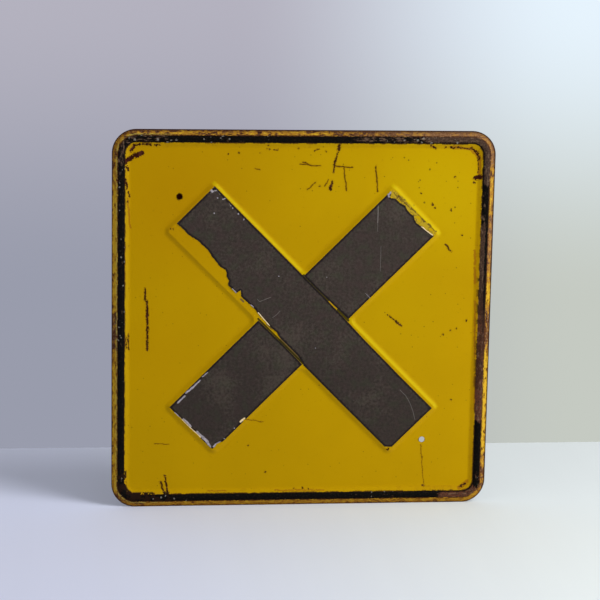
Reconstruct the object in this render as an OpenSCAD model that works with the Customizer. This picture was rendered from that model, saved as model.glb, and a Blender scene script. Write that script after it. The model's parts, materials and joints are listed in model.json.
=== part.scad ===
// Square pressed steel warning sign with a raised cross and three strips of dark sheeting on it.
// The sign stands upright: +X is right and +Z is up, the face looks along -Y, and the origin is
// the middle of the two bolt holes on the back of the flat panel.

/* [Panel] */
// Side of the square sheet
side = 609.6; // [560:0.1:760]
// Radius of the sheet's corners
corner_r = 38.1; // [34:0.1:50]
// Thickness of the steel
sheet_t = 1.5; // [1:0.1:2]
// Radius of the tight bends: the bead's outer foot and the edge of the cross's plateau
bend_r = 2; // [1:0.5:3]

/* [Rim bead] */
// Height of the bead's crest over the panel
bead_h = 5; // [3.5:0.5:6]
// Distance of the crest from the sheet's edge
crest_in = 12.8; // [12.5:0.1:14]
// Radius of the bead's crown
crown_r = 12; // [10:0.5:13]
// Slope of the bead towards the panel, in degrees
bead_slope_in = 21; // [20:1:24]
// Front radius of the bend between that slope and the panel
bead_foot_r = 14; // [8:1:14]
// Slope of the bead towards the edge, in degrees
bead_slope_out = 42; // [40:1:48]

/* [Raised cross] */
// Length of the falling bar's plateau
long_bar_l = 509; // [440:1:512]
// Length of the rising bar's plateau
short_bar_l = 501; // [440:1:512]
// Width of a bar's plateau
bar_w = 102; // [80:1:104]
// Height of the plateau over the panel
cross_rise = 3; // [2:0.25:4]
// Slope of the walls round the cross, in degrees
wall_slope = 26; // [24:1:32]
// Front radius of the bend at the walls' foot
wall_foot_r = 12; // [6:1:12]
// Plan radius of the bars' outer corners
bar_corner_r = 4; // [3:0.5:8]
// Plan radius of the plateau where two bars meet
crotch_r = 14; // [13:0.5:16]

/* [Bolt holes] */
// Distance between the centres of the two holes, along the falling diagonal
hole_pcd = 562; // [552:1:590]
// Diameter of a hole
hole_d = 9.5; // [8:0.5:11]

/* [Sheeting] */
// Thickness of the adhesive sheeting
strip_t = 0.5; // [0.3:0.1:0.8]

/* [Hidden] */
$fn = 96;
eps = 1;
bend_steps = 5;     // flats in a pressed bend
crown_steps = 12;   // flats across the bead's crown
plan_steps = 6;     // flats in a rounded corner of a hidden lap
lap = 2;            // flat run by which the swept rims overlap the flat sheets
plateau_z = sheet_t + cross_rise;

// Horizontal run of a slope between two opposed bends whose radii add up to radii
function slope_run(radii, rise, angle) =
    radii * sin(angle) + (rise - radii * (1 - cos(angle))) / tan(angle);

bead_run_in = slope_run(crown_r + bead_foot_r, bead_h, bead_slope_in);
bead_run_out = slope_run(crown_r + bend_r, bead_h, bead_slope_out);
wall_run = slope_run(bend_r + sheet_t + wall_foot_r, cross_rise, wall_slope);
rim_w = crest_in + bead_run_in;

// Points on an arc about a centre, from one angle to the other
function arc(centre, r, from, to, steps) =
    [for (i = [0 : steps]) let (a = from + (to - from) * i / steps) centre + r * [cos(a), sin(a)]];

function reversed(points) = [for (i = [len(points) - 1 : -1 : 0]) points[i]];

// Points put on a grid of a thousandth of a millimetre, so that swept pieces meet exactly
function on_grid(points) = [for (p = points) [round(p.x * 1000) / 1000, round(p.y * 1000) / 1000]];

// A closed section of even thickness, from the front line and the line one sheet behind it
function sheet_section(front, back) = on_grid(concat(front, reversed(back)));

// One surface of the rim, from the panel outwards, skin mm behind the front: [outward, height]
function rim_line(skin) = concat(
    [[-rim_w - lap, sheet_t - skin]],
    arc([-rim_w, sheet_t + bead_foot_r], bead_foot_r + skin, -90, bead_slope_in - 90, bend_steps),
    arc([-crest_in, sheet_t + bead_h - crown_r], crown_r - skin,
        90 + bead_slope_in, 90 - bead_slope_out, crown_steps),
    arc([bead_run_out - crest_in, sheet_t + bend_r], bend_r + skin,
        -90 - bead_slope_out, -90, bend_steps),
    [[0, sheet_t - skin]]
);

// One surface of the cross's wall, from the plateau outwards, skin mm behind the front
function wall_line(skin) = concat(
    [[-lap, plateau_z - skin]],
    arc([0, cross_rise - bend_r], bend_r + sheet_t - skin, 90, 90 - wall_slope, bend_steps),
    arc([wall_run, sheet_t + wall_foot_r], wall_foot_r + skin, -90 - wall_slope, -90, bend_steps),
    [[wall_run + lap, sheet_t - skin]]
);

// A point turned a number of quarter turns about the origin
function quarter(p, turns) = turns == 0 ? p : quarter([-p.y, p.x], turns - 1);

square_path = [for (k = [0 : 3]) quarter([side / 2, side / 2], k)];
cross_path = [
    for (k = [0 : 3])
        let (arm = k % 2 == 0 ? short_bar_l : long_bar_l)
        for (p = [[arm, -bar_w], [arm, bar_w], [bar_w, bar_w]]) quarter(p / 2, k)
];

function unit(v) = v / norm(v);
function step_in(path, i) = unit(path[i] - path[(i + len(path) - 1) % len(path)]);
function step_out(path, i) = unit(path[(i + 1) % len(path)] - path[i]);
function is_convex(path, i) = cross(step_in(path, i), step_out(path, i)) > 0;
function heading(v) = atan2(v.y, v.x);

// Radius of the path at a corner, and the centre of that arc
function path_r(path, i, r_convex, r_concave) = is_convex(path, i) ? r_convex : r_concave;
function path_centre(path, i, r) = path[i] + r * (step_out(path, i) - step_in(path, i));

// The outline that runs outward by a distance beside a path of square corners
function outline(path, r_convex, r_concave, outward) = [
    for (i = [0 : len(path) - 1])
        let (
            r = path_r(path, i, r_convex, r_concave),
            start = heading(step_in(path, i))
        )
        for (p = is_convex(path, i)
            ? arc(path_centre(path, i, r), r + outward, start - 90, start, plan_steps)
            : arc(path_centre(path, i, r), r - outward, start + 90, start, plan_steps)) p
];

// Sweeps a section round a path of square corners, with a true revolve at each corner
module swept_section(path, section, r_convex, r_concave) {
    for (i = [0 : len(path) - 1]) {
        r = path_r(path, i, r_convex, r_concave);
        next = (i + 1) % len(path);
        next_r = path_r(path, next, r_convex, r_concave);
        way = step_out(path, i);
        start = heading(step_in(path, i));
        translate(path[next] - next_r * way)
            rotate([0, 0, heading(way) - 90])
                rotate([90, 0, 0])
                    linear_extrude(norm(path[next] - path[i]) - r - next_r) polygon(section);
        translate(path_centre(path, i, r))
            rotate([0, 0, is_convex(path, i) ? start - 90 : start])
                rotate_extrude(angle = 90)
                    polygon(is_convex(path, i)
                        ? [for (p = section) [r + p.x, p.y]]
                        : [for (p = reversed(section)) [r - p.x, p.y]]);
    }
}

module rim() {
    swept_section(square_path, sheet_section(rim_line(0), rim_line(sheet_t)), corner_r, corner_r);
}

module cross_wall() {
    swept_section(cross_path, sheet_section(wall_line(0), wall_line(sheet_t)), bar_corner_r, crotch_r);
}

module flat_panel() {
    linear_extrude(sheet_t) difference() {
        polygon(outline(square_path, corner_r, corner_r, -rim_w - lap / 2));
        rotate(45) polygon(outline(cross_path, bar_corner_r, crotch_r, wall_run + lap / 2));
    }
}

module plateau() {
    translate([0, 0, cross_rise])
        linear_extrude(sheet_t)
            polygon(outline(cross_path, bar_corner_r, crotch_r, -lap / 2));
}

module bolt_holes() {
    for (turn = [135, 315])
        rotate([0, 0, turn])
            translate([hole_pcd / 2, 0, -eps])
                cylinder(d = hole_d, h = sheet_t + 2 * eps);
}

// Stands a shape drawn on its back, with its front upwards, upright with its front along -Y
module upright() {
    rotate([90, 0, 0]) children();
}

module sign_plate() {
    color("gold")
        upright()
            difference() {
                union() {
                    flat_panel();
                    rim();
                    rotate([0, 0, 45]) {
                        cross_wall();
                        plateau();
                    }
                }
                bolt_holes();
            }
}

// Sheeting of a given outline on the plateau, with its length along the bar at an angle
module sheeting(angle, points) {
    color("dimgray")
        upright()
            rotate([0, 0, angle])
                translate([0, 0, plateau_z])
                    linear_extrude(strip_t) polygon(points);
}

// Outlines of the strips: [along, across] a bar, from the middle of the cross
long_outline = [
    [-254, -32.5], [-229, -32.5], [-212, -29], [-195, -28], [-182, -29], [-168, -31.5],
    [-144, -31], [-140, -34], [-130, -38.5], [-126.5, -44], [-108, -45], [-106, -37.5],
    [-98, -42.5], [-64, -42.5], [-30, -44.6], [0, -46], [34, -46], [48, -48],
    [54, -50.4], [150, -50.9], [245, -50.9], [253.6, -43], [253.6, 47.8], [170, 47],
    [150, 47.6], [90, 48], [50, 49.4], [0, 50.4], [-120, 50.6], [-254, 50.8]
];
upper_outline = [
    [53, -50.4], [244, -50.4], [243.6, -44], [242, -33], [239, -22], [238.2, -14],
    [242.5, -5], [242, 9], [244, 18], [241.2, 28], [241, 35], [236.6, 43],
    [236.6, 50.8], [51.3, 50.8], [51.3, 20], [52.6, -20]
];
lower_outline = [
    [-50.6, 50.8], [-249.2, 50.8], [-250, 38], [-249.6, 22], [-250.2, 6], [-249.8, -12],
    [-250.2, -30], [-249.6, -47.6], [-239, -46.2], [-229, -50.4], [-50.8, -50.6],
    [-50.2, 0]
];

module long_strip() {
    sheeting(-45, long_outline);
}

module upper_strip() {
    sheeting(45, upper_outline);
}

module lower_strip() {
    sheeting(45, lower_outline);
}

sign_plate();
long_strip();
upper_strip();
lower_strip();
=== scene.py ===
"""Finishes the pressed square sign: worn yellow enamel, the black line on its rim, and torn dark sheeting."""

import json
import math

import bpy
import numpy as np
from mathutils import Euler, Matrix, Vector, geometry, noise


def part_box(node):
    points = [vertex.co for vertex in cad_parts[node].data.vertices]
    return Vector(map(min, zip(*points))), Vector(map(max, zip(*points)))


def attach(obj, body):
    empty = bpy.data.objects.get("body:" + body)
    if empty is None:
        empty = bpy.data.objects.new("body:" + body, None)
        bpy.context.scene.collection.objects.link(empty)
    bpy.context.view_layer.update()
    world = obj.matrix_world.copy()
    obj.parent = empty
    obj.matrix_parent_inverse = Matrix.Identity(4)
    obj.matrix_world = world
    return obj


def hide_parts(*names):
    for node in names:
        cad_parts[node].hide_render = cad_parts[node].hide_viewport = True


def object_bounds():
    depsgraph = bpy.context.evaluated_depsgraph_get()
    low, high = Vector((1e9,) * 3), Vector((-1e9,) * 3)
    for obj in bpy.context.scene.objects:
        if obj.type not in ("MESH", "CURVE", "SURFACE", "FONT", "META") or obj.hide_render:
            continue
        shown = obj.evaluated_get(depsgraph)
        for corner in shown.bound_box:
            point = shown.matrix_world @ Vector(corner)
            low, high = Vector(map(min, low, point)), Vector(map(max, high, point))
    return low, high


bl_info = {
    "name": "Embossed Square Sign",
    "version": (1, 0, 0),
    "blender": (4, 5, 0),
    "location": "View3D > Sidebar > Sign",
    "description": "Enamel, rust and torn sheeting for a pressed square warning sign",
    "category": "Object",
}

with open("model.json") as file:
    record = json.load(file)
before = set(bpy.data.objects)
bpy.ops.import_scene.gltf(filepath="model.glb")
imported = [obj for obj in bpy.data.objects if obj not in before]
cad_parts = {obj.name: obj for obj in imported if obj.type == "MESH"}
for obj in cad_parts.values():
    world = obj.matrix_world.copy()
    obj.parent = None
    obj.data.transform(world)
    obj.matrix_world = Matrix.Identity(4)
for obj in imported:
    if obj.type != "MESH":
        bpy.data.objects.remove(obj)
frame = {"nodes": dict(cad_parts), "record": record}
cad_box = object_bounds()

MM = 0.001
BODY = "root"

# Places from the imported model, in mm: x to the right, z up, and the front towards -y
PLATE_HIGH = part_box("sign_plate")[1] / MM
SHEETING_FRONT, SHEETING_BACK = (corner.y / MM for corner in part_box("long_strip"))
SHEETING_T = SHEETING_BACK - SHEETING_FRONT
MOUNTS = {mount["name"]: mount for mount in frame["record"]["mounts"]}
HOLE_R = MOUNTS["post_bolts"]["dims"]["hole_r_mm"]
HOLE_OUT = MOUNTS["post_bolts"]["dims"]["pcd_mm"] / 2 / math.sqrt(2)

# Sizes of the pressing that the paint follows, in mm: the plate's side and corners, the plateau of the raised
# cross, and how far the wall round it runs out
HALF_SIDE = PLATE_HIGH.x
CORNER_R = 38.1
LONG_HALF_L = 254.5
SHORT_HALF_L = 250.5
BAR_HALF_W = 51
WALL_RUN = 9.7
# Soft edges in mm: how far they reach to each side of a dot's outline and of the line's sides, and between
# which distances from it a stretch of the rim fades out
DOT_BLUR = 0.3
LINE_BLUR = 0.3
STRETCH_FULL, STRETCH_END = 13, 26
# The values that noise mostly takes, because it stays near its middle
NOISE_RANGE = (0.34, 0.66)
# How far a face looks forwards or back, as a cosine, where that side's finish begins and where it is full
FACING_START, FACING_FULL = 0.25, 0.55


def srgb(red, green, blue):
    """The linear colour of a shader for a colour from 0 to 255, as a colour picker shows it."""
    def linear(value):
        return value / 12.92 if value <= 0.04045 else ((value + 0.055) / 1.055) ** 2.4
    return tuple(linear(value / 255) for value in (red, green, blue))


def colour_property(name, description, default):
    """A colour that the user may change."""
    return bpy.props.FloatVectorProperty(
        name=name, description=description, subtype="COLOR", size=3, min=0, max=1, default=default
    )


def length_property(name, description, default):
    """A length in metres that the user may change."""
    return bpy.props.FloatProperty(
        name=name, description=description, subtype="DISTANCE", unit="LENGTH", min=0, default=default
    )


class EnamelSettings(bpy.types.PropertyGroup):
    """Colours of the pressed plate, and the place of the line on its rim."""
    enamel: colour_property("Enamel", "Yellow of the enamel", srgb(175, 134, 1))
    # Lemon: used for patches that are partly faded enamel and partly painted light
    lemon: colour_property("Lemon", "Enamel where it has faded towards lemon", srgb(181, 147, 1))
    lip: colour_property("Lip", "Faded enamel on the outer lip", srgb(158, 112, 26))
    bright_lip: colour_property("Bright lip", "Enamel that is left on the outer lip", srgb(190, 150, 36))
    brown_lip: colour_property("Brown lip", "Rusty parts of the outer lip", srgb(86, 52, 28))
    line: colour_property("Line", "Black of the line on the rim", srgb(4, 3, 2))
    worn_line: colour_property("Worn line", "Brown of the line where it is worn", srgb(78, 58, 46))
    rust: colour_property("Rust", "Dark middle of a rust mark", srgb(46, 14, 3))
    stain: colour_property("Stain", "Rust that has run into the enamel", srgb(148, 102, 6))
    residue: colour_property("Residue", "Old adhesive on the bare end of the cross", srgb(168, 140, 36))
    back: colour_property("Back", "Primer on the back of the sheet", srgb(128, 130, 124))
    line_start: length_property("Line start", "Distance of the line from the sheet's edge", 0.0092)
    line_end: length_property("Line end", "Distance of the line's inner side from the sheet's edge", 0.0206)


class SheetingSettings(bpy.types.PropertyGroup):
    """Colours and thickness of the dark sheeting."""
    film: colour_property("Film", "Face of the sheeting", srgb(53, 45, 40))
    scuff: colour_property("Scuff", "Face of the sheeting where it is rubbed", srgb(82, 74, 64))
    fray: colour_property("Fray", "Backing that shows where the face has flaked off", srgb(176, 168, 176))
    thickness: length_property("Thickness", "Thickness of the sheeting", SHEETING_T * MM)
    pitch: length_property("Pitch", "Distance between the mesh points of a strip", 0.004)


class StageSettings(bpy.types.PropertyGroup):
    """Floor, background, lamps and camera."""
    floor_left: colour_property("Floor left", "Colour of the floor at the left", srgb(216, 221, 244))
    floor_right: colour_property("Floor right", "Colour of the floor at the right", srgb(228, 235, 236))
    low_left: colour_property("Low left", "Background at the lower left", srgb(153, 156, 172))
    low_right: colour_property("Low right", "Background at the lower right", srgb(197, 202, 194))
    high_left: colour_property("High left", "Background at the upper left", srgb(180, 178, 191))
    high_right: colour_property("High right", "Background at the upper right", srgb(231, 244, 254))
    # The hole shade is the colour of the painted shadow behind the upper hole
    hole_shade: colour_property("Hole shade", "What shows through the upper hole", srgb(56, 16, 8))
    floor_end: length_property("Floor end", "How far behind the sign the floor ends", 0.381)
    key_power: bpy.props.FloatProperty(
        name="Key power", description="Power of the soft lamp at the upper right", unit="POWER", default=124.0
    )
    side_power: bpy.props.FloatProperty(
        name="Side power", description="Power of the weak lamp at the right", unit="POWER", default=12.0
    )
    fill: bpy.props.FloatProperty(
        name="Fill", description="Brightness of the even light from all round", min=0, default=0.46
    )
    lens: bpy.props.FloatProperty(
        name="Lens", description="Focal length of the camera", subtype="DISTANCE_CAMERA", default=124.4
    )


class Signal:
    """What flows out of a shader node, so that sums on it are written as Python."""

    def __init__(self, paint, socket):
        self.paint = paint
        self.socket = socket

    def __add__(self, other):
        return self.paint.maths("ADD", self, other)

    __radd__ = __add__

    def __sub__(self, other):
        return self.paint.maths("SUBTRACT", self, other)

    def __rsub__(self, other):
        return self.paint.maths("SUBTRACT", other, self)

    def __mul__(self, other):
        return self.paint.maths("MULTIPLY", self, other)

    __rmul__ = __mul__

    def __truediv__(self, other):
        return self.paint.maths("DIVIDE", self, other)

    def __abs__(self):
        return self.paint.maths("ABSOLUTE", self)

    def at_least(self, other):
        """The larger of this and another value."""
        return self.paint.maths("MAXIMUM", self, other)

    def at_most(self, other):
        """The smaller of this and another value."""
        return self.paint.maths("MINIMUM", self, other)

    def between(self, zero_at, one_at):
        """Rises smoothly from 0 to 1 as this goes from one value to another, which may be the lower."""
        return self.paint.node(
            "ShaderNodeMapRange",
            {"interpolation_type": "SMOOTHSTEP", "clamp": False},
            {"Value": self, "From Min": zero_at, "From Max": one_at},
        )

    def within(self, start, full, fade, end):
        """A soft band, which rises from start to full and falls from fade to end."""
        return self.between(start, full) * self.between(end, fade)


class Paint:
    """A node tree in the making. One method adds any node, and the rest are short names for common ones."""

    def __init__(self, tree):
        self.tree = tree
        tree.nodes.clear()

    def node(self, kind, settings=None, inputs=None, output=0):
        """Adds a node, makes its settings, sets or links its sockets, and gives one of its outputs."""
        made = self.tree.nodes.new(kind)
        for name, value in (settings or {}).items():
            setattr(made, name, value)
        for name, value in (inputs or {}).items():
            if isinstance(value, Signal):
                self.tree.links.new(value.socket, made.inputs[name])
            else:
                made.inputs[name].default_value = value
        return Signal(self, made.outputs[output]) if made.outputs else None

    def maths(self, operation, *values):
        """A sum on numbers."""
        return self.node("ShaderNodeMath", {"operation": operation}, dict(enumerate(values)))

    def vectors(self, operation, *values, output="Vector"):
        """A sum on vectors."""
        return self.node("ShaderNodeVectorMath", {"operation": operation}, dict(enumerate(values)), output)

    def parts(self, vector):
        """The x and z of a vector."""
        made = self.node("ShaderNodeSeparateXYZ", inputs={0: vector}).socket.node
        return Signal(self, made.outputs["X"]), Signal(self, made.outputs["Z"])

    def mix(self, factor, below, above):
        """One colour laid over another."""
        colours = [colour if isinstance(colour, Signal) else (*colour, 1) for colour in (below, above)]
        return self.node(
            "ShaderNodeMix",
            {"data_type": "RGBA"},
            {"Factor": factor, 6: colours[0], 7: colours[1]},
            2,
        )

    def scaled(self, place, factors):
        """A place with each coordinate multiplied, for patterns that are stretched along one direction."""
        return self.node("ShaderNodeMapping", {}, {"Vector": place, "Scale": factors})

    def dots(self, place, spacing, radius):
        """Scattered round dots of up to a radius in mm, about spacing mm apart in all three directions."""
        far = self.node("ShaderNodeTexVoronoi", {}, {"Vector": place, "Scale": 1 / spacing}, "Distance")
        return (far * spacing - radius).between(DOT_BLUR, -DOT_BLUR)

    def cloud(self, place, size, detail=2.0, roughness=0.5, output="Fac"):
        """Soft noise whose patches are about size mm across."""
        return self.node(
            "ShaderNodeTexNoise",
            {},
            {"Vector": place, "Scale": 1 / size, "Detail": detail, "Roughness": roughness},
            output,
        )

    def bumps(self, strength, height):
        """The normal of a surface with small bumps of a height in mm."""
        return self.node("ShaderNodeBump", {}, {"Strength": strength, "Distance": MM, "Height": height})

    def surface(self, look):
        """A Principled shader with the given values or links of its sockets."""
        return self.node("ShaderNodeBsdfPrincipled", {}, look)

    def finish(self, shader, output="ShaderNodeOutputMaterial"):
        """Joins a shader to the output."""
        self.node(output, {}, {"Surface": shader})


def new_material(name):
    """A new material, and the Paint for its nodes."""
    material = bpy.data.materials.new(name)
    material.use_nodes = True
    return material, Paint(material.node_tree)


def add_object(name, data):
    """A new object in the scene."""
    made = bpy.data.objects.new(name, data)
    bpy.context.scene.collection.objects.link(made)
    return made


def shaded(colour, factor):
    """A colour made darker or lighter by a factor."""
    return tuple(value * factor for value in colour)


def face_place(paint):
    """A point of the surface in mm as it is seen from the front, with no depth."""
    return paint.scaled(paint.node("ShaderNodeTexCoord", output="Object"), (1 / MM, 0, 1 / MM))


def jostled(paint, place, *shakes):
    """A place moved about by noise of several (size, amount), which makes what is drawn there ragged."""
    moved = place
    for size, amount in shakes:
        shift = paint.cloud(place, size, 2.0, output="Color")
        centred = paint.vectors("SUBTRACT", shift, (0.5, 0.5, 0.5))
        moved = paint.vectors("MULTIPLY_ADD", centred, (amount, 0, amount), moved)
    return moved


def spot_distance(paint, place, spot):
    """Distance in mm from the outline of a round spot (x, z, diameter)."""
    x, z, width = spot
    return paint.vectors("DISTANCE", place, (x, 0, z), output="Value") - width / 2


def stroke_distance(paint, place, stroke):
    """Distance in mm from the outline of a straight stroke with round ends (x, z, x, z, width)."""
    start = Vector((stroke[0], 0, stroke[1]))
    run = Vector((stroke[2], 0, stroke[3])) - start
    from_start = paint.vectors("SUBTRACT", place, start)
    along = paint.vectors("DOT_PRODUCT", from_start, run / run.length_squared, output="Value")
    along = along.at_least(0).at_most(1)
    nearest = paint.node("ShaderNodeVectorMath", {"operation": "SCALE"}, {0: run, "Scale": along})
    return paint.vectors("DISTANCE", from_start, nearest, output="Value") - stroke[4] / 2


def mark_distance(paint, place, marks):
    """Distance in mm from the nearest of several strokes and spots."""
    distance = None
    for mark in marks:
        drawn = spot_distance if len(mark) == 3 else stroke_distance
        here = drawn(paint, place, mark)
        distance = here if distance is None else distance.at_most(here)
    return distance


def strength_at(paint, place, patches):
    """The strongest of several soft round patches (x, z, radius, strength) at a place."""
    total = None
    for x, z, radius, strength in patches:
        away = paint.vectors("DISTANCE", place, (x, 0, z), output="Value")
        here = away.between(radius, 0) * strength
        total = here if total is None else total.at_least(here)
    return total


def strength_along(paint, place, stretches):
    """The strongest of several soft-ended stretches (x, z, x, z, strength) of the rim at a place."""
    total = None
    for *ends, strength in stretches:
        here = stroke_distance(paint, place, (*ends, 0)).between(STRETCH_END, STRETCH_FULL) * strength
        total = here if total is None else total.at_least(here)
    return total


def box_distance(paint, across, up, half_across, half_up):
    """Signed distance from a rectangle, negative inside it."""
    over_across = abs(across) - half_across
    over_up = abs(up) - half_up
    outside_across = over_across.at_least(0)
    outside_up = over_up.at_least(0)
    outside = paint.maths("SQRT", outside_across * outside_across + outside_up * outside_up)
    return outside + over_across.at_least(over_up).at_most(0)


def edge_distance(paint, x, z):
    """Distance from the sheet's edge inwards."""
    reach = HALF_SIDE - CORNER_R
    return CORNER_R - box_distance(paint, x, z, reach, reach)


def cross_distance(paint, x, z):
    """Signed distance from the plateau of the raised cross, negative on it."""
    along = abs(x - z) / math.sqrt(2)
    across = abs(x + z) / math.sqrt(2)
    falling = (along - LONG_HALF_L).at_least(across - BAR_HALF_W)
    rising = (across - SHORT_HALF_L).at_least(along - BAR_HALF_W)
    return falling.at_most(rising)


# Marks on the enamel in mm from the sign's middle: strokes (x, z, x, z, width) and spots (x, z, diameter)
RUST_MARKS = [
    (266, 277, 275, 272, 3.2), (275, 272, 279, 260, 2.8), (-284, 254, -274, 260, 7.4),
    (-268, 263, -259, 267, 8.0), (-275, 271, -271, 277, 4.6), (-271, 279, -262, 282, 3.6),
    (-262, 281, -244, 280, 2.8), (-238, 280, -230, 280, 1.8), (-283, 246, -278, 240, 3.0),
    (-284, 226, -281, 212, 3.4), (-279, 206, -277, 199, 3.0), (-281, 190, 3.0), (-278, -21, -278, -47, 1.6),
    (-281, -26, -281, -45, 1.4), (-284, -24, -284, -40, 1.2), (-299, -5, -300, -28, 4.0), (-123, 266, 2.2),
    (-106, 268, 2.6), (-72, 268, 2.0), (-57, 273, 1.8), (-50, 273, -44, 274, 1.6), (-61, 274, 2.0),
    (-60, 281, 1.8), (-12, 276, 2.0), (14, 272, 20, 275, 1.8), (32, 272, 2.0), (-252, 52, -252, 33, 3.0),
    (-249, 31, -248, -6, 4.0), (-248, -10, -248, -47, 3.4), (53, 281, 52, 275, 4.2),
    (52, 275, 49, 261, 2.2), (49, 261, 46, 250, 2.8), (46, 250, 45, 239, 3.0), (40, 211, 41, 216, 4.6),
    (41, 216, 43, 223, 3.0), (22, 215, 24, 216, 1.8), (200, 281, 207, 277, 3.4), (223, 279, 2.8),
    (231, 279, 238, 278, 2.4), (243, 278, 264, 277, 2.6), (267, 276, 276, 267, 2.2),
    (277, 262, 277, 240, 1.4), (274, 230, 281, 232, 7.0), (270, 228, 2.6), (271, 222, 3.0), (240, 231, 3.0),
    (205, 187, 3.0), (209, 182, 2.2), (236, 178, 2.6), (254, 138, 2.8), (186, 205, 2.4), (266, -2, 3.0),
    (228, -25, 2.4), (240, -18, 2.8), (250, -15, 2.2), (245, -133, 2.8), (228, 122, 238, 112, 2.4),
    (138, 8, 150, -2, 2.0), (150, -2, 160, -10, 2.8), (204, -276, 4.0), (264, -279, 272, -274, 3.0),
    (5, -278, 3.0), (14, -279, 2.4), (-10, -278, 2.2), (-85, -205, 2.8), (-57, -250, 3.0),
    (-219, -254, -214, -286, 3.0), (-226, -264, -219, -284, 2.8), (-213, 148, 2.4), (-209, 147, 2.0),
    (143, -213, 3.2), (-274, -282, -262, -286, 3.4), (-250, -284, 3.4), (-236, -283, 2.6),
]
FINE_SCRATCHES = [
    (47, 248, 75, 246, 1.6), (61, 245, 66, 209, 1.8), (112, 248, 116, 208, 2.0), (-9, 251, 23, 248, 1.6),
    (-4, 254, 10, 249, 1.2), (3, 210, 17, 222, 1.4), (31, 216, 37, 226, 1.4), (197, -208, 204, -272, 0.8),
    (-235, -201, -213, -202, 0.9), (-95, -160, -62, -167, 1.0), (-80, 244, -72, 241, 1.2),
]
STAINS = [
    (236, 279, 262, 277, 5.0), (264, 277, 278, 264, 6.0), (279, 262, 279, 236, 5.0),
    (262, -281, 276, -270, 5.0), (276, 112, 277, 90, 3.0), (277, 84, 278, 60, 3.4),
    (279, 30, 281, -60, 2.0), (282, -90, 284, -150, 1.6), (-280, 196, -276, 150, 2.4),
    (-284, 120, -284, 60, 1.4), (-40, -281, 40, -281, 1.6), (-150, -280, -120, -280, 1.4),
]
# Soft patches (x, z, radius, strength): painted shade towards the left, and lemon patches towards the right
SHADE_PATCHES = [(-200, 200, 190, 0.8), (-215, -60, 120, 0.3)]
# The lemon patches are partly faded enamel and partly painted light
FADED_AND_LIT = [(215, 215, 190, 0.85), (60, 240, 130, 0.35), (160, 20, 140, 0.3), (40, -60, 130, 0.2)]
# Stretches of the rim (x, z, x, z, strength): where the line is worn, where the lip is rusted and where it
# has kept its enamel, where black has run over the line's inner side, and where the line has pale specks
LINE_WEAR = [
    (90, 294, 190, 294, 0.4), (210, 294, 258, 290, 0.9), (260, 288, 288, 260, 1.0),
    (292, 250, 292, 236, 0.85), (293, 200, 293, 170, 0.3), (293, 140, 294, -150, 0.95),
    (291, -272, 278, -287, 0.3), (250, -293, 273, -291, 0.9), (-291, 215, -291, 255, 0.2),
    (-288, 264, -264, 288, 0.4), (-255, 291, -235, 292, 0.4),
]
LIP_WEAR = [
    (-225, 302, 50, 302, 0.35), (58, 301, 190, 301, 0.6), (205, 301, 262, 299, 0.95),
    (270, 296, 297, 268, 0.8), (300, 226, 300, 168, 0.25), (300, 150, 300, 78, 0.7),
    (300, 2, 300, -36, 1.0), (301, -240, 300, -268, 0.9), (-299, 240, -286, 284, 0.45),
    (-284, 286, -236, 300, 0.55), (-300, -8, -300, -26, 1.0), (-290, -284, -270, -298, 0.4),
]
LIP_LEFT = [(300, 60, 300, 22, 0.25), (301, -66, 301, -222, 0.35), (-299, 180, -299, 80, 0.15)]
BLOTS = [(-288, -262, -262, -288, 1.0), (-258, -291, -225, -292, 0.7), (292, -100, 292, 60, 0.5)]
PALE_SPECKS = [
    (-262, 288, -140, 293, 1.0), (-293, 225, -293, 60, 0.6), (-292, 0, -292, -60, 0.5),
    (-288, -272, -200, -293, 0.8), (150, 293, 235, 293, 0.8), (-100, 293, 100, 293, 0.2),
    (120, -293, 130, -293, 0.5),
]
# Dirt between the strips, painted shadow along their edges there, and dirt on the bare end of the upper arm
SEAM_DIRT = [
    (-36, -32, -2, -66, 5.0), (-58, -6, -50, -14, 1.6), (-191, 154, -178, 141, 3.0),
    (-100, 35, -96, 31, 3.0), (-158, 122, -150, 114, 2.0),
]
SEAM_SHADE = [(-72, 3, 1, -70, 3.0), (0, 73, 40, 33, 4.0), (56, 17, 73, 0, 4.0)]
END_DIRT = [
    (142, 206, 154, 194, 1.6), (154, 194, 166, 184, 1.6), (170, 182, 178, 174, 2.2), (162, 188, 2.8),
    (149, 202, 157, 194, 2.0), (188, 165, 193, 160, 3.4), (199, 156, 203, 152, 3.0), (172, 180, 3.0),
    (180, 173, 190, 163, 1.4), (205, 150, 212, 143, 1.6),
]


def sheet_sides(paint):
    """Masks of the faces that look forwards, and of those that look back."""
    normal = paint.node("ShaderNodeTexCoord", output="Normal")
    forward = paint.vectors("DOT_PRODUCT", normal, (0, -1, 0), output="Value")
    return forward.between(FACING_START, FACING_FULL), forward.between(-FACING_START, -FACING_FULL)


# Colours of wear, rust and dirt on the front of the plate, and of painted shade, shadow and highlight
SHADED_ENAMEL = srgb(168, 122, 1)
LIT_ENAMEL = srgb(186, 160, 1)
ENAMEL_SPECK = srgb(84, 60, 10)
RUST_RUN = srgb(140, 84, 12)
BROWN_RUST = srgb(74, 36, 24)
SCRATCH_RUST = srgb(70, 24, 5)
SEAM_DUST = srgb(92, 68, 46)
SEAM_SHADOW = srgb(30, 15, 10)
RESIDUE_RING = srgb(88, 60, 34)
DARK_FLAKE, PALE_FLAKE = srgb(60, 30, 18), srgb(104, 74, 30)
EDGE_RUST, EDGE_RUST_DARK = srgb(70, 36, 22), srgb(46, 26, 18)
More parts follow.
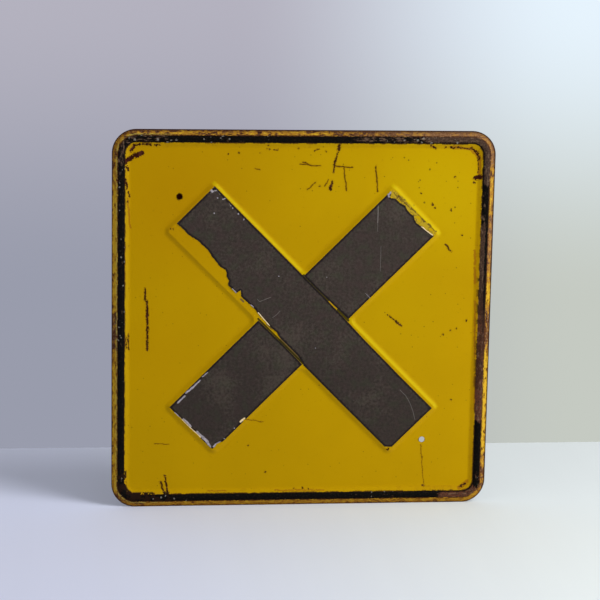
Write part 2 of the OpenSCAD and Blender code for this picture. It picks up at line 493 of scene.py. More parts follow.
# Colours of the lip, and of the line on the rim
LIP_NOTCH = srgb(44, 18, 10)
LIP_STEEL = srgb(142, 114, 88)
LIP_RUBBED = srgb(142, 104, 70)
LIP_BOTTOM_RUST_AND_SHADE = srgb(124, 70, 24)
LIP_TOP_EDGE = srgb(60, 30, 14)
LIP_PALE = srgb(168, 156, 74)
LINE_GRIT = srgb(28, 22, 15)
LINE_RUST = srgb(96, 50, 32)
LINE_STEEL = srgb(132, 108, 82)
LINE_SPECK = srgb(142, 138, 128)
LINE_SEAM = srgb(54, 18, 10)
LINE_BLOT = srgb(30, 15, 7)
RIM_BRINK = srgb(46, 26, 16)
# Colours of the back
PRIMER_DARK, PRIMER_PALE = srgb(98, 96, 88), srgb(150, 150, 142)
HOLLOW_DIRT_AND_SHADE = srgb(52, 48, 42)
BACK_RUST = srgb(104, 62, 34)

# Bands in mm (start, full, fade, end). Inwards from the sheet's edge: the bead's inner slope, and the bead's
# hollow at the back. Outwards from the plateau: the wall's painted highlight, and the wall's hollow at the
# back.
BEAD_SLOPE = (20, 22, 27, 30)
BEAD_HOLLOW = (3, 7, 19, 27)
LIT_WALL = (0, 1, 3, 7.5)
WALL_HOLLOW = (-1, 2, 5, WALL_RUN)
# Where the rim at the left begins, as x, and at the bottom, as z
FAR_RIM = (-280, -292)


class PlatePoint:
    """Where a point of the plate lies in mm, and the noises that its paint, rust and dirt follow."""

    def __init__(self, paint):
        self.place = face_place(paint)
        self.x, self.z = paint.parts(self.place)
        self.from_edge = edge_distance(paint, self.x, self.z)
        self.from_cross = cross_distance(paint, self.x, self.z)
        self.large = paint.cloud(self.place, 130, 2.0)
        self.medium = paint.cloud(self.place, 14, 3.0, 0.6)
        self.fine = paint.cloud(self.place, 2.6, 3.0, 0.65)
        self.rough_place = jostled(paint, self.place, (9.0, 5.0), (2.4, 3.2))


def plate_material(settings):
    """Worn enamel on the front of the pressed plate, rust on its edge and primer on its back."""
    material, paint = new_material("yellow_enamel")
    at = PlatePoint(paint)

    front, back = sheet_sides(paint)
    colour = enamel_colour(paint, settings, at)
    rust = rust_mask(paint, at)
    colour = paint.mix(rust["halo"] * 0.5, colour, settings.stain)
    rust_colour = paint.mix(at.medium.between(0.5, 0.7), settings.rust, BROWN_RUST)
    colour = paint.mix(rust["core"], colour, rust_colour)
    colour = paint.mix(rust["scratches"], colour, SCRATCH_RUST)
    colour = rim_colour(paint, settings, at, colour)

    back_colour = primer_colour(paint, settings, at)
    edge_colour = paint.mix(at.fine.between(0.4, 0.6), EDGE_RUST, EDGE_RUST_DARK)
    surface = paint.mix(front, edge_colour, colour)
    surface = paint.mix(back, surface, back_colour)

    roughness = 0.36 + 0.16 * at.medium
    height = 0.05 * at.fine + 0.2 * at.medium + 1.2 * at.large
    look = {"Base Color": surface, "Normal": paint.bumps(0.6, height)}
    gloss = {"Roughness": roughness, "Specular IOR Level": 0.3, "Specular Tint": (0.7, 1.0, 0.05, 1)}
    shiny = paint.surface(look | gloss)
    matt = paint.surface(look | {"Roughness": 0.55 + 0.3 * at.fine, "Specular IOR Level": 0.05})

    # The rim, rust, blots, the sheet's edge and its back are matt
    line_end = settings.line_end / MM
    dull = at.from_edge.between(line_end + 0.6, line_end - 0.2).at_least(rust["core"]).at_least(1 - front)
    blotted = strength_along(paint, at.place, BLOTS) * at.from_edge.between(line_end + 5, line_end + 3)
    dull = dull.at_least(blotted)
    paint.finish(paint.node("ShaderNodeMixShader", {}, {"Fac": dull, 1: shiny, 2: matt}))
    return material


def enamel_colour(paint, settings, at):
    """The yellow of the front with its clouds, small specks and dirt along the creases, and painted shade and
    highlight.
    """
    colour = paint.mix(at.large.between(0.3, 0.7) * 0.5, settings.enamel, shaded(settings.enamel, 0.9))
    # Painted shade: the enamel is darker and warmer towards the left
    shade_patch = strength_at(paint, at.place, SHADE_PATCHES)
    colour = paint.mix(shade_patch, colour, SHADED_ENAMEL)
    # Lemon patches towards the right: partly faded enamel with more specks, partly painted light
    faded = strength_at(paint, at.place, FADED_AND_LIT)
    colour = paint.mix(faded, colour, settings.lemon)
    blush = paint.cloud(at.place, 5.0, 2.0).between(0.62, 0.78) * 0.35
    colour = paint.mix(blush, colour, settings.stain)
    specks = paint.dots(at.place, 13.0, 0.55 + 1.1 * faded + 0.5 * at.medium)
    colour = paint.mix(specks * 0.75, colour, ENAMEL_SPECK)

    # Dirt in the crease inside the bead, painted shade on its inner slope at the right, and rust that has run
    # there
    slope = at.from_edge.within(*BEAD_SLOPE)
    creased = slope * (at.medium * 0.7 + at.fine * 0.5).between(0.6, 0.78)
    right = at.x.between(150, 240)
    colour = paint.mix(creased * 0.5 + slope * right * (0.1 + 0.4 * at.medium), colour, settings.stain)
    stains = mark_distance(paint, at.rough_place, STAINS) + (at.fine - 0.5) * 4
    colour = paint.mix(stains.between(1.0, -0.6) * 0.8, colour, RUST_RUN)

    # The wall of the cross: dirt at its foot, and a painted highlight on the sides that face up and to the
    # right
    foot = abs(at.from_cross - WALL_RUN).between(2.6, 0.2) * at.medium.between(0.45, 0.75)
    colour = paint.mix(foot * 0.3, colour, settings.stain)
    out = (at.x + at.z) * math.sqrt(0.5)
    faces_light = out.between(BAR_HALF_W - 1, BAR_HALF_W) * (
        out.between(BAR_HALF_W + 8, BAR_HALF_W + 6) + out.between(SHORT_HALF_L - 1, SHORT_HALF_L)
    )
    lit_wall = at.from_cross.within(*LIT_WALL) * faces_light
    colour = paint.mix(lit_wall * 0.65, colour, LIT_ENAMEL)

    hole = hole_distance(paint, at.rough_place)
    colour = paint.mix(hole.between(1.3, 0.3) * 0.7, colour, settings.rust)
    dirt = mark_distance(paint, at.place, SEAM_DIRT).between(0.6, -0.6)
    colour = paint.mix(dirt * 0.9, colour, SEAM_DUST)
    # Painted shadow along the edges of the strips
    shade = mark_distance(paint, at.place, SEAM_SHADE).between(0.5, -0.4)
    colour = paint.mix(shade * 0.92, colour, SEAM_SHADOW)
    return bare_end_colour(paint, settings, at, colour)


def hole_distance(paint, place):
    """Distance outside the nearer of the two bolt holes."""
    spots = [(-HOLE_OUT, HOLE_OUT, 2 * HOLE_R), (HOLE_OUT, -HOLE_OUT, 2 * HOLE_R)]
    return mark_distance(paint, place, spots)


def bare_end_colour(paint, settings, at, colour):
    """Old adhesive on the plateau's upper right end, where the sheeting has torn away."""
    width = 14
    half = (BAR_HALF_W - width / 2) / math.sqrt(2)
    middle = (SHORT_HALF_L - width / 2) / math.sqrt(2)
    band = (middle - half, middle + half, middle + half, middle - half, width)
    bare = stroke_distance(paint, at.rough_place, band).between(0.8, -0.4)
    patches = paint.cloud(at.place, 10.0, 1.0, 0.5)
    colour = paint.mix(bare * patches.between(0.36, 0.5) * 0.85, colour, settings.residue)
    rings = abs(patches - 0.5).between(0.022, 0.008)
    colour = paint.mix(bare * rings * 0.8, colour, RESIDUE_RING)
    flakes = paint.mix(at.fine.between(0.35, 0.6), DARK_FLAKE, PALE_FLAKE)
    return paint.mix(mark_distance(paint, at.rough_place, END_DIRT).between(0.4, -0.5) * 0.9, colour, flakes)


def rust_mask(paint, at):
    """Rust marks: their broken dark middle, the scratches, and the stain round both."""
    distance = mark_distance(paint, at.rough_place, RUST_MARKS)
    scratches = mark_distance(paint, at.rough_place, FINE_SCRATCHES)
    ragged = distance + at.fine.between(0.3, 0.7) * 2.6 - 1.3
    return {
        "core": ragged.between(0.4, -0.4),
        "scratches": scratches.between(0.4, -0.4),
        "halo": distance.at_most(scratches).between(2.2, 0),
    }


def rim_colour(paint, settings, at, colour):
    """The rolled rim: its lip, the black line, dirt along the line's sides, and the sheet's worn brink."""
    upright = (abs(at.x) - abs(at.z)).between(-2, 2)
    streak_up = paint.cloud(paint.scaled(at.place, (1, 1, 0.3)), 3.0, 3.0, 0.65)
    streak_across = paint.cloud(paint.scaled(at.place, (0.3, 1, 1)), 3.0, 3.0, 0.65)
    streak = (streak_up * upright + streak_across * (1 - upright)).between(*NOISE_RANGE)
    lump = at.medium.between(*NOISE_RANGE)
    grain = at.fine.between(*NOISE_RANGE)
    line_start = settings.line_start / MM
    line_end = settings.line_end / MM

    outer = at.from_edge - (grain - 0.5) * 0.9
    lip = outer.between(line_start + LINE_BLUR, line_start - LINE_BLUR)
    colour = paint.mix(lip, colour, lip_colour(paint, settings, at, streak, lump, grain))
    inner = at.from_edge - (grain - 0.5) * 0.7
    line = outer.between(line_start - LINE_BLUR, line_start + LINE_BLUR)
    line = line * inner.between(line_end + LINE_BLUR, line_end - LINE_BLUR)
    colour = paint.mix(line, colour, line_colour(paint, settings, at, inner, streak, lump, grain))

    outer_seam = abs(outer - line_start + 0.4).between(1.4, 0.5) * lump.between(0.15, 0.5)
    inner_seam = abs(inner - line_end - 0.4).between(1.2, 0.4) * lump.between(0.2, 0.6)
    colour = paint.mix(outer_seam.at_least(inner_seam) * 0.8, colour, LINE_SEAM)
    blots = strength_along(paint, at.place, BLOTS) * (lump + 0.5 * grain).between(0.55, 0.75)
    beside = at.from_edge.between(line_end + 5, line_end + 2)
    beside = beside * outer.between(line_start - LINE_BLUR, line_start + LINE_BLUR)
    colour = paint.mix(blots.between(0.3, 0.7) * beside, colour, LINE_BLOT)
    brink = (at.from_edge - (grain - 0.5) * 0.8).between(2.2, 1.0)
    return paint.mix(brink * 0.9, colour, RIM_BRINK)


def lip_colour(paint, settings, at, streak, lump, grain):
    """The lip outside the line: enamel that is left, faded and rusted away in streaks along the rim, and
    painted shade on the bottom.
    """
    worn_off = strength_along(paint, at.place, LIP_WEAR)
    left_on = strength_along(paint, at.place, LIP_LEFT)
    amount = 0.36 + 0.24 * at.from_edge.between(1.0, 4.0) + 0.7 * (streak - 0.5) + 0.5 * (lump - 0.5)
    mild = at.x.between(*FAR_RIM).at_least(at.z.between(*FAR_RIM))
    amount = amount - 0.5 * worn_off + left_on + 0.12 * mild
    colour = paint.mix(amount.between(0.2, 0.42), settings.brown_lip, settings.lip)
    colour = paint.mix(amount.between(0.6, 0.85), colour, settings.bright_lip)
    notched = (streak + 0.4 * lump).between(0.4, 0.2) * (0.85 - 0.5 * mild)
    colour = paint.mix(notched, colour, LIP_NOTCH)
    colour = paint.mix(worn_off * grain.between(0.6, 0.9) * 0.55, colour, LIP_STEEL)
    rubbed = worn_off * at.z.between(60, 120) * at.x.between(60, 160) * (0.35 + 0.4 * grain)
    colour = paint.mix(rubbed, colour, LIP_RUBBED)
    # Darker brown on the bottom lip: partly rust, partly painted shade on the side that faces down
    colour = paint.mix(at.z.between(-280, -294) * (0.1 + 0.5 * lump), colour, LIP_BOTTOM_RUST_AND_SHADE)
    colour = paint.mix(at.z.between(240, 280) * at.from_edge.between(5, 3) * 0.4, colour, LIP_TOP_EDGE)
    pale_line = abs(at.from_edge - 7.6).between(1.3, 0.5)
    pale_line = pale_line * at.x.between(-180, -260) * streak.between(0.2, 0.5)
    return paint.mix(pale_line * 0.7, colour, LIP_PALE)


def line_colour(paint, settings, at, inner, streak, lump, grain):
    """The black line: gritty paint, rust where it is worn, and pale specks."""
    line_end = settings.line_end / MM
    worn = strength_along(paint, at.place, LINE_WEAR) + 0.5 * (streak - 0.5) + 0.4 * (lump - 0.5)
    right_side = at.x.between(100, 150) * abs(at.z).between(222, 200)
    # Paint is left along the line's inner side, but at the upper right it is left along the outer side
    left_inside = inner.between(line_end - 3.6, line_end - 1.4) * (1 - right_side)
    left_outside = right_side * at.z.between(-60, 40)
    left_outside = left_outside * (at.from_edge - (streak - 0.5) * 2).between(14.4, 12.8)
    worn = worn.between(0.3, 0.7) * (1 - left_inside.at_least(left_outside))
    texture = paint.mix(grain.between(0.55, 1.0) * 0.7, settings.line, LINE_GRIT)
    worn_colour = paint.mix(grain, shaded(settings.worn_line, 0.4), settings.worn_line)
    redder = at.x.between(100, 150) * at.z.between(60, -20) * grain * 0.8
    worn_colour = paint.mix(redder, worn_colour, LINE_RUST)
    colour = paint.mix(worn, texture, worn_colour)
    colour = paint.mix(worn * streak.between(0.7, 1.0) * 0.45, colour, LINE_STEEL)
    speckled = strength_along(paint, at.place, PALE_SPECKS)
    specks = paint.dots(at.place, 8.0, speckled * 1.9 + (grain - 0.5) * 1.6)
    return paint.mix(specks * 0.55, colour, LINE_SPECK)


def primer_colour(paint, settings, at):
    """The back: thin grey primer, dirt and painted shade in its hollows, rust creeping in from the edge and
    the holes.
    """
    blotches = paint.cloud(paint.scaled(at.place, (1, 1, 0.5)), 34.0, 4.0, 0.6)
    colour = paint.mix(blotches.between(0.4, 0.65) * 0.35, settings.back, PRIMER_DARK)
    colour = paint.mix(at.large.between(0.45, 0.75) * 0.4, colour, PRIMER_PALE)
    # Dirt and painted shade in the hollows behind the bead and the cross's wall
    bead = at.from_edge.within(*BEAD_HOLLOW)
    wall = at.from_cross.within(*WALL_HOLLOW)
    colour = paint.mix(bead.at_least(wall) * (0.1 + 0.5 * at.medium), colour, HOLLOW_DIRT_AND_SHADE)
    near_edge = at.from_edge.between(26, 0) * 0.34
    near_hole = hole_distance(paint, at.place).between(16, 0) * 0.3
    rusty = (near_edge.at_least(near_hole) + at.medium * 0.6 + at.fine * 0.35).between(0.62, 0.8)
    return paint.mix(rusty * 0.85, colour, BACK_RUST)


# Outlines of the strips in mm, (along, across) a bar from the cross's middle: a torn and a cut stretch each
LONG_TORN = [
    (-254, -32.5), (-249, -32.5), (-240, -31.8), (-229, -32.5), (-220.5, -31), (-212, -28.3), (-195, -28.3),
    (-189, -27.6), (-182, -29), (-175.5, -31), (-168, -31), (-161, -32.5), (-155.5, -32.5), (-147, -30.4),
    (-141.5, -32.5), (-138, -36.5), (-130, -38.6), (-127.5, -43), (-124, -44.6), (-116, -44.4), (-108, -45),
    (-106.8, -41), (-106.2, -36.6), (-103, -38.4), (-98.7, -42.4), (-87, -42), (-66, -41.4), (-60.7, -43.2),
    (-32, -44.2), (-17, -43.2), (-7, -45.7),
]
LONG_CUT = [
    (-7, -45.7), (14, -45.6), (34, -45.8), (48, -48), (54, -50.4), (150, -50.9), (245, -50.9), (253.6, -43),
    (253.9, 47.8), (170, 47.2), (150, 47.6), (90, 48), (50, 49.4), (0, 50.4), (-120, 50.6), (-254, 50.9),
    (-254, -32.5),
]
UPPER_TORN = [
    (244.0, 50.9), (243.0, 48.6), (239.6, 46.6), (236.6, 44.6), (237.1, 42.2), (241.4, 36), (241.3, 27.4),
    (243, 21.5), (244.4, 17.6), (242.4, 11), (242.1, 2), (243.2, -4), (239.4, -9.7), (238.3, -15),
    (239.2, -22.2), (241.4, -28.5), (242.3, -37.4), (243.6, -45.7), (243.8, -50.4),
]
UPPER_CUT = [(243.8, -50.4), (53.2, -50.4), (52.4, -20), (51.3, 20), (51.4, 50.9), (244.0, 50.9)]
LOWER_TORN = [
    (-249.2, 50.9), (-249.6, 44), (-250, 38), (-249.6, 28), (-250.2, 6), (-249.8, -12), (-250.2, -24),
    (-250, -38), (-249.4, -47.4), (-243, -47.6), (-239, -46.2), (-234, -48.2), (-229, -50.6),
]
LOWER_CUT = [
    (-229, -50.6), (-184, -50.6), (-180.5, -48.4), (-177, -50.6), (-50.8, -50.6), (-50.4, -20), (-50.2, 0),
    (-50.6, 50.9), (-249.2, 50.9),
]

# The ragged sides of a strip in mm: the spacing of their points, and the sizes of coarse and fine noise
RAG_STEP = 1.6
COARSE_RAG, FINE_RAG = 5, 1.6
FINE_SHARE = 0.6
FIRST_SEED, FINE_SEED = 0.37, 7
# The face of a strip in mm: how deep and how wide its unevenness is, how far it rounds off at the rim and
# within what distance, and how far in from the rim a lifted flake reaches
UNEVEN, UNEVEN_SIZE = 0.05, 24
ROUNDED, ROUNDED_REACH = 0.12, 0.5
LIFT_REACH = 5
# Folds of the mesh that are steeper than this, in degrees, look sharp
SHARP_ANGLE = 50
# The net of mesh points in a strip, in pitches: the spacing of its rows, and its distance from the outline
ROW_SPACING, NET_MARGIN = 0.87, 0.45
# What the triangulation is told: to keep only what is inside the outline, and what counts as one point
INSIDE_ONLY, SAME_POINT = 1, 1e-5


def ragged_line(points, size, seed):
    """Points along a line, moved off it by noise of up to about size mm. The last point is left out."""
    made = []
    for start, end in zip(points, points[1:]):
        run = Vector(end) - Vector(start)
        side = Vector((-run.y, run.x)).normalized()
        steps = max(1, round(run.length / RAG_STEP))
        for step in range(steps):
            point = Vector(start) + run * step / steps
            coarse = noise.noise(Vector((point.x / COARSE_RAG, point.y / COARSE_RAG, seed)))
            sharp = noise.noise(Vector((point.x / FINE_RAG, point.y / FINE_RAG, seed + FINE_SEED)))
            made.append(point + side * size * (coarse + FINE_SHARE * sharp))
    return made


def outline_distance(points, outline):
    """Distance of each point from a closed outline."""
    starts = np.array(outline)
    runs = np.roll(starts, -1, 0) - starts
    away = points[:, None, :] - starts[None, :, :]
    along = np.clip((away * runs).sum(2) / (runs * runs).sum(1), 0, 1)
    return np.linalg.norm(away - along[:, :, None] * runs, axis=2).min(1)


def is_inside(points, outline):
    """Whether each point is inside a closed outline, by counting the sides it lies to the left of."""
    starts = np.array(outline)
    ends = np.roll(starts, -1, 0)
    px, py = points[:, 0, None], points[:, 1, None]
    crosses = (starts[:, 1] > py) != (ends[:, 1] > py)
    rise = ends[:, 1] - starts[:, 1]
    slope = (ends[:, 0] - starts[:, 0]) / np.where(rise == 0, 1, rise)
    return (crosses & (px < starts[:, 0] + (py - starts[:, 1]) * slope)).sum(1) % 2 == 1


def fill_points(outline, pitch):
    """A net of points inside an outline, which stays a little away from it."""
    corners = np.array(outline)
    low, high = corners.min(0), corners.max(0)
    rows = np.arange(low[1], high[1], pitch * ROW_SPACING)
    net = np.array([
        (across + (row % 2) * pitch / 2, up)
        for row, up in enumerate(rows)
        for across in np.arange(low[0], high[0], pitch)
    ])
    return net[is_inside(net, outline) & (outline_distance(net, outline) > pitch * NET_MARGIN)]


def strip_mesh(name, outline, pitch, turn, lifts, thickness):
    """A thin sheet of the given outline: flat on the cross, a little uneven, and lifted in places."""
    inner = fill_points(outline, pitch)
    count = len(outline)
    flat = [Vector(point) for point in outline] + [Vector(point) for point in inner]
    spots, _, faces, *_ = geometry.delaunay_2d_cdt(flat, [], [list(range(count))], INSIDE_ONLY, SAME_POINT)
    places = np.array([tuple(spot) for spot in spots])
    rim = outline_distance(places, outline)
    raised = np.zeros(len(places))
    for along, across, radius, height in lifts:
        away = np.linalg.norm(places - np.array((along, across)), axis=1)
        near = np.clip(1 - away / radius, 0, 1)
        raised = np.maximum(raised, height * near * near * (3 - 2 * near) * np.exp(-rim / LIFT_REACH))
    uneven = np.array([noise.fractal(Vector((*spot, 3)) / UNEVEN_SIZE, 1, 2, 3) for spot in places])
    top = raised + UNEVEN * uneven - ROUNDED * np.exp(-rim / ROUNDED_REACH)

    cos_turn, sin_turn = math.cos(turn), math.sin(turn)
    x = places[:, 0] * cos_turn - places[:, 1] * sin_turn
    z = places[:, 0] * sin_turn + places[:, 1] * cos_turn
    front = np.stack([x, SHEETING_BACK - thickness - top, z], 1)
    back = np.stack([x, SHEETING_BACK - raised, z], 1)

    sides = boundary_edges(faces)
    total = len(places)
    mesh = bpy.data.meshes.new(name)
    solid = [list(face) for face in faces]
    solid += [[corner + total for corner in reversed(face)] for face in faces]
    solid += [[second, first, first + total, second + total] for first, second in sides]
    mesh.from_pydata((np.concatenate([front, back]) * MM).tolist(), [], solid)
    for label, values in (("rim", rim), ("raised", raised)):
        attribute = mesh.attributes.new(label, "FLOAT", "POINT")
        attribute.data.foreach_set("value", np.concatenate([values, values]).astype(np.float32))
    mesh.validate()
    mesh.shade_smooth()
    mesh.set_sharp_from_angle(angle=math.radians(SHARP_ANGLE))
    return mesh


def boundary_edges(faces):
    """The edges that only one face has, each in that face's direction."""
    seen = {}
    for face in faces:
        for first, second in zip(face, list(face[1:]) + [face[0]]):
            seen[(first, second)] = True
    return [edge for edge in seen if (edge[1], edge[0]) not in seen]


# How each strip lies: its turn in degrees, its sides with the size of their raggedness in mm, and the places
# where it is lifted (along, across, radius, height)
STRIPS = {
    "long_strip": {
        "turn": -45,
        "edges": [(LONG_TORN, 0.7), (LONG_CUT, 0.12)],
        "lifts": [(-118, -46, 14, 1.1), (-250, -32, 10, 0.5), (-70, -43, 20, 0.4), (-30, -45, 26, 0.5)],
    },
    "upper_strip": {
        "turn": 45,
        "edges": [(UPPER_TORN, 0.6), (UPPER_CUT, 0.12)],
        "lifts": [(243, 18, 12, 0.6), (244, -44, 14, 0.7), (239, 48, 10, 0.5)],
    },
    "lower_strip": {
        "turn": 45,
        "edges": [(LOWER_TORN, 0.4), (LOWER_CUT, 0.15)],
        "lifts": [(-250, 10, 20, 0.5), (-249, -40, 12, 0.6), (-49, 30, 20, 0.3)],
    },
}
# Marks on the sheeting in mm: pale scratches, places where the face has flaked off, and cream torn edges
SHEETING_SCRATCHES = [
    (117, 188, 117, 158, 1.2), (117, 158, 117, 144, 0.4), (123, 120, 123, 80, 0.4),
    (160, -115, 170, -125, 0.5), (170, -125, 177, -137, 0.5), (177, -137, 182, -150, 0.5),
    (182, -150, 186, -165, 0.5), (-70, 31, -60, 35, 0.6), (-60, 35, -52, 38, 0.6), (-49, 5, -43, 9, 0.5),
    (-43, 9, -37, 16, 0.5), (-74, 35, -70, 31, 0.5), (-155, 203, -148, 206, 1.3),
    (-140, 209, -135, 202, 0.9), (-122, 191, -118, 185, 0.8),
]
FLAKED = [
    (-199, -133, -188, -122, 2.4), (-186, -117, -175, -108, 2.8), (-175, -108, -164, -97, 2.2),
    (-160, -91, -152, -84, 1.4), (-204, -149, -198, -155, 1.6), (-190, -160, -184, -165, 2.6),
    (-184, -165, -178, -172, 2.4), (-168, -181, -159, -190, 3.0), (-159, -190, -151, -198, 4.2),
    (-151, -198, -147, -206, 3.8), (-141, -206, -138, -202, 2.6), (-136, -201, -131, -198, 1.4),
    (-108, -176, 2.2), (-124, -193, 1.6), (137, 208, 133, 203, 3.2), (133, 203, 134, 200, 2.8),
    (-152, 213, -147, 207, 3.4), (-146, 208, -141, 209, 1.4), (-139, 197, 2.0), (-131, 195, -127, 196, 1.6),
    (-118, 185, 1.8), (-115, 181, 1.8), (-106, 172, 2.2), (-97, 163, 1.6), (-144, 173, 1.8),
    (-150, 212, 3.2), (-114, 52, -108, 46, 1.4), (-84, 26, -80, 22, 1.2), (37, 70, 1.5), (-40, 72, 1.5),
    (21, -45, 1.4), (100, 44, 128, 16, 0.5), (206, -118, 214, -128, 1.2),
]
CREAM_EDGE = [
    (-197, -157, -180, -174, 2.2), (-180, -174, -163, -190, 2.4), (-98, -165, -92, -160, 3.0),
    (-72, 13, -54, -8, 1.5), (188, 152, 198, 144, 1.8), (198, 145, 206, 139, 3.0),
]

# Colours of the sheeting's face, its rim of dirt and painted shadow, and its torn edges
FILM_RED, FILM_GREEN = srgb(60, 46, 44), srgb(52, 54, 40)
FILM_SCRATCH = srgb(150, 144, 138)
FILM_RIM_DIRT_AND_SHADOW = srgb(18, 10, 9)
CREAM = srgb(226, 202, 156)


def sheeting_material(settings):
    """Fine grained dark sheeting with rubbed places, scratches, a rim of dirt and painted shadow, and pale
    backing at torn edges.
    """
    known = bpy.data.materials.get("dark_sheeting_finish")
    if known:
        return known
    material, paint = new_material("dark_sheeting_finish")
    place = face_place(paint)
    grain = paint.cloud(place, 1.4, 2.0, 0.7)
    mottle = paint.cloud(place, 4.5, 3.0, 0.65)
    large = paint.cloud(place, 70, 3.0, 0.5)
    rough_place = jostled(paint, place, (2.4, 2.4))

    _, z = paint.parts(place)
    speckle = (grain * 0.5 + mottle * 0.7).between(0.45, 0.75)
    colour = paint.mix(speckle, shaded(settings.film, 0.7), shaded(settings.film, 1.3))
    blotch = paint.cloud(place, 16, 2.0, 0.5)
    colour = paint.mix(blotch.between(0.5, 0.7) * 0.5, colour, FILM_RED)
    colour = paint.mix(blotch.between(0.5, 0.3) * 0.5, colour, FILM_GREEN)
    colour = paint.mix(z.between(20, -130) * 0.3, colour, shaded(settings.film, 0.45))
    rubbed = (large * 0.6 + mottle * 0.4).between(0.48, 0.66) * 0.35
    colour = paint.mix(rubbed, colour, settings.scuff)
    scratched = mark_distance(paint, jostled(paint, place, (5.0, 1.0)), SHEETING_SCRATCHES)
    scratch = scratched.between(0.35, -0.35)
    colour = paint.mix(scratch * 0.45, colour, FILM_SCRATCH)
    from_rim = paint.node("ShaderNodeAttribute", {"attribute_name": "rim"}, output="Fac")
    # A dark rim along each strip's edge: dirt, and painted shadow
    rim_dirt_and_shadow = (from_rim + (mottle - 0.5) * 4.0).between(4.0, 2.0)
    colour = paint.mix(rim_dirt_and_shadow * 0.85, colour, FILM_RIM_DIRT_AND_SHADOW)
    flaked = (mark_distance(paint, rough_place, FLAKED) + (mottle - 0.5) * 2.4).between(0.45, -0.35)
    frayed = (from_rim + (mottle - 0.5) * 3.0).between(-0.05, -0.5)
    pale = flaked.at_least(frayed * 0.5)
    backing = paint.mix(mottle.between(0.4, 0.6), shaded(settings.fray, 0.62), settings.fray)
    colour = paint.mix(pale * 0.9, colour, backing)
    cream = mark_distance(paint, jostled(paint, place, (4.0, 1.0)), CREAM_EDGE).between(0.4, -0.3)
    colour = paint.mix(cream * 0.95, colour, CREAM)

    height = 0.05 * grain + 0.06 * mottle - 0.12 * flaked
    paint.finish(paint.surface({
        "Base Color": colour,
        "Roughness": 0.62 + 0.2 * mottle,
        "Specular IOR Level": 0.12,
        "Normal": paint.bumps(0.7, height),
    }))
    return material


def lay_strip(node, settings):
    """Makes one strip in mesh code in the place of its plain solid."""
    strip = STRIPS[node]
    outline = []
    for seed, (points, size) in enumerate(strip["edges"]):
        outline += ragged_line(points, size, seed + FIRST_SEED)
    mesh = strip_mesh(
        node + "_sheet",
        outline,
        settings.pitch / MM,
        math.radians(strip["turn"]),
        strip["lifts"],
        settings.thickness / MM,
    )
    mesh.materials.append(sheeting_material(settings))
    sheet = add_object(node + "_sheet", mesh)
    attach(sheet, BODY)
    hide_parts(node)


# The stage: sizes and places in metres, and the camera's turn in degrees
FLOOR_HALF_WIDTH = 3.0
FLOOR_FRONT = -4.0
FLOOR_SMUDGE = srgb(190, 194, 200)
KEY_PLACE = (2.6, -2.0, 2.9)
KEY_SIZE = 2.4
SIDE_PLACE = (1.5, -1.1, 0.0)
SIDE_SIZE = 0.6
CAMERA_PLACE = (-0.3876, -3.2365, 0.6287)
CAMERA_TURN = (79.631, -1.025, -6.557)
# In mm: where the floor changes from its left to its right colour. Then the dark disc of painted shadow
# behind
# the upper hole: its number of sides, how far it reaches past the hole, and how far behind the sheet it
# stands
FLOOR_FADE = (-450, 400)
SHADE_SIDES, SHADE_MARGIN, SHADE_BEHIND = 32, 1.5, 3
# Directions seen by the camera, as parts of a unit vector: where the background changes across and upwards
WALL_FADE, HEIGHT_FADE = (0.08, 0.25), (-0.18, -0.03)


def make_floor(settings):
    """A plain pale floor under the sign, which ends a little behind it."""
    level = cad_box[0].z
    corners = [(x, y, level) for x, y in (
        (-FLOOR_HALF_WIDTH, FLOOR_FRONT), (FLOOR_HALF_WIDTH, FLOOR_FRONT),
        (FLOOR_HALF_WIDTH, settings.floor_end), (-FLOOR_HALF_WIDTH, settings.floor_end),
    )]
    mesh = bpy.data.meshes.new("floor")
    mesh.from_pydata(corners, [], [(0, 1, 2, 3)])
    material, paint = new_material("floor")
    place = face_place(paint)
    x, _ = paint.parts(place)
    colour = paint.mix(x.between(*FLOOR_FADE), settings.floor_left, settings.floor_right)
    colour = paint.mix(paint.cloud(place, 60, 3.0) * 0.12, colour, FLOOR_SMUDGE)
    paint.finish(paint.surface({"Base Color": colour, "Roughness": 0.9, "Specular IOR Level": 0.04}))
    mesh.materials.append(material)
    add_object("floor", mesh)


def make_hole_shade(settings):
    """A small dark disc close behind the upper hole: painted shadow, which hides the pale background there.
    """
    turns = [math.tau * step / SHADE_SIDES for step in range(SHADE_SIDES)]
    radius = HOLE_R + SHADE_MARGIN
    ring = [
        Vector((-HOLE_OUT + radius * math.cos(turn), SHADE_BEHIND, HOLE_OUT + radius * math.sin(turn))) * MM
        for turn in turns
    ]
    mesh = bpy.data.meshes.new("hole_shade")
    mesh.from_pydata(ring, [], [list(range(SHADE_SIDES))])
    material, paint = new_material("hole_shade")
    speckle = paint.cloud(face_place(paint), 2.0, 2.0)
    shade = paint.mix(speckle, settings.hole_shade, shaded(settings.hole_shade, 0.5))
    paint.finish(paint.surface({"Base Color": shade, "Roughness": 0.9, "Specular IOR Level": 0.0}))
    mesh.materials.append(material)
    add_object("hole_shade", mesh)


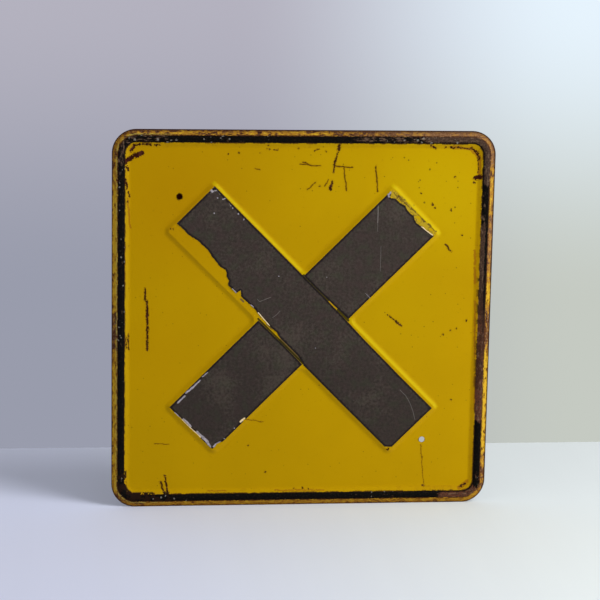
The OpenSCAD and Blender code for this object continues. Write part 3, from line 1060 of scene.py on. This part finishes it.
def make_world(settings):
    """Even light from all round, and a pale background that is brightest at the upper right."""
    world = bpy.data.worlds.new("studio")
    world.use_nodes = True
    bpy.context.scene.world = world
    paint = Paint(world.node_tree)
    way = paint.node("ShaderNodeTexCoord", output="Generated")
    across, up = paint.parts(way)
    to_right = across.between(*WALL_FADE)
    low = paint.mix(to_right, settings.low_left, settings.low_right)
    high = paint.mix(to_right, settings.high_left, settings.high_right)
    seen = paint.mix(up.between(*HEIGHT_FADE), low, high)
    shown = paint.node("ShaderNodeBackground", {}, {"Color": seen, "Strength": 1.0})
    lit = paint.node("ShaderNodeBackground", {}, {"Color": (1, 1, 1, 1), "Strength": settings.fill})
    rays = paint.node("ShaderNodeLightPath", output="Is Camera Ray")
    for kind in ("Is Glossy Ray", "Is Transmission Ray"):
        rays = rays.at_least(paint.node("ShaderNodeLightPath", output=kind))
    mixed = paint.node("ShaderNodeMixShader", {}, {"Fac": rays, 1: lit, 2: shown})
    paint.finish(mixed, "ShaderNodeOutputWorld")


def make_lamp(name, place, size, power):
    """A soft round lamp that is turned to the middle of the sign."""
    lamp = bpy.data.lights.new(name, "AREA")
    lamp.shape = "DISK"
    lamp.size = size
    lamp.energy = power
    holder = add_object(name, lamp)
    holder.location = place
    holder.rotation_euler = (-Vector(place)).to_track_quat("-Z", "Y").to_euler()


def make_camera(settings):
    """The camera, a little to the left of the sign and above it, with a long lens."""
    camera = add_object("camera", bpy.data.cameras.new("camera"))
    camera.data.lens = settings.lens
    camera.location = CAMERA_PLACE
    camera.rotation_euler = Euler([math.radians(turn) for turn in CAMERA_TURN], "XYZ")
    bpy.context.scene.camera = camera


class SIGN_OT_set_stage(bpy.types.Operator):
    """Makes the floor, the background, the lamps and the camera"""
    bl_idname = "sign.set_stage"
    bl_label = "Set the Stage"
    bl_options = {"REGISTER", "UNDO"}

    def execute(self, context):
        settings = context.scene.sign_stage
        make_camera(settings)
        make_floor(settings)
        make_hole_shade(settings)
        make_world(settings)
        make_lamp("key", KEY_PLACE, KEY_SIZE, settings.key_power)
        make_lamp("side", SIDE_PLACE, SIDE_SIZE, settings.side_power)
        context.scene.view_settings.view_transform = "Standard"
        return {"FINISHED"}


class SIGN_OT_paint_plate(bpy.types.Operator):
    """Gives the pressed plate its worn enamel, its rust and its primed back"""
    bl_idname = "sign.paint_plate"
    bl_label = "Paint the Plate"
    bl_options = {"REGISTER", "UNDO"}

    def execute(self, context):
        plate = frame["nodes"]["sign_plate"]
        plate.data.materials.clear()
        plate.data.materials.append(plate_material(context.scene.sign_enamel))
        return {"FINISHED"}


class SIGN_OT_lay_strips(bpy.types.Operator):
    """Lays the three strips of sheeting with their torn sides and ends"""
    bl_idname = "sign.lay_strips"
    bl_label = "Lay the Strips"
    bl_options = {"REGISTER", "UNDO"}

    def execute(self, context):
        for node in STRIPS:
            lay_strip(node, context.scene.sign_sheeting)
        return {"FINISHED"}


OPERATORS = (SIGN_OT_set_stage, SIGN_OT_paint_plate, SIGN_OT_lay_strips)
SETTINGS = {"sign_enamel": EnamelSettings, "sign_sheeting": SheetingSettings, "sign_stage": StageSettings}


class SIGN_PT_pieces(bpy.types.Panel):
    """Settings and steps of the sign"""
    bl_idname = "SIGN_PT_pieces"
    bl_label = "Embossed Square Sign"
    bl_space_type = "VIEW_3D"
    bl_region_type = "UI"
    bl_category = "Sign"

    def draw(self, context):
        for group in SETTINGS:
            settings = getattr(context.scene, group)
            box = self.layout.box()
            for name in settings.__annotations__:
                box.prop(settings, name)
        for operator in OPERATORS:
            self.layout.operator(operator.bl_idname)


def register():
    """Registers the settings, the operators and the panel."""
    for name, group in SETTINGS.items():
        bpy.utils.register_class(group)
        setattr(bpy.types.Scene, name, bpy.props.PointerProperty(type=group))
    for operator in OPERATORS:
        bpy.utils.register_class(operator)
    bpy.utils.register_class(SIGN_PT_pieces)


def unregister():
    """Takes the panel, the operators and the settings away again."""
    bpy.utils.unregister_class(SIGN_PT_pieces)
    for operator in reversed(OPERATORS):
        bpy.utils.unregister_class(operator)
    for name, group in reversed(SETTINGS.items()):
        delattr(bpy.types.Scene, name)
        bpy.utils.unregister_class(group)


def main():
    """Builds the whole scene."""
    register()
    bpy.ops.sign.set_stage()
    bpy.ops.sign.paint_plate()
    bpy.ops.sign.lay_strips()


if __name__ == "__main__":
    main()
